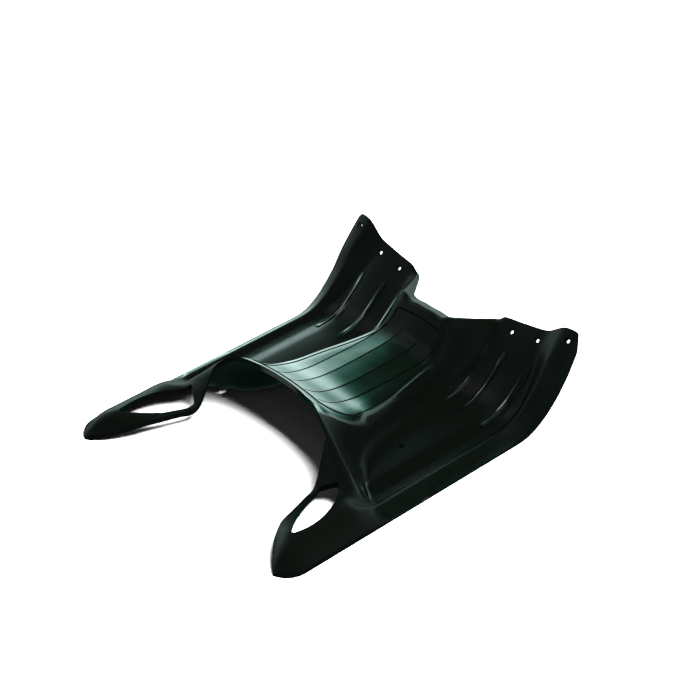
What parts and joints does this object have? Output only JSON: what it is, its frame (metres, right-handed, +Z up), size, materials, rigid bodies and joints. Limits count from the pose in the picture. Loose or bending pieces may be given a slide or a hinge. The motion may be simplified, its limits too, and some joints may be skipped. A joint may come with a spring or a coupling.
{
  "type": "scooter floorboard",
  "caption": "Moulded scooter floorboard with two foot wells beside a raised centre tunnel, upswept front wings and slotted rear tails around a cut-out.",
  "frame": {"origin": "middle of the bounding box at the level of the side walls' lower edges", "axes": "+X across towards the rider's right, +Y forward, +Z up"},
  "size_m": [0.438, 0.5422, 0.1316],
  "materials": {
    "floorboard": "moulded gloss"
  },
  "bodies": {
    "root": {"floorboard": "floorboard"}
  },
  "joints": []
}
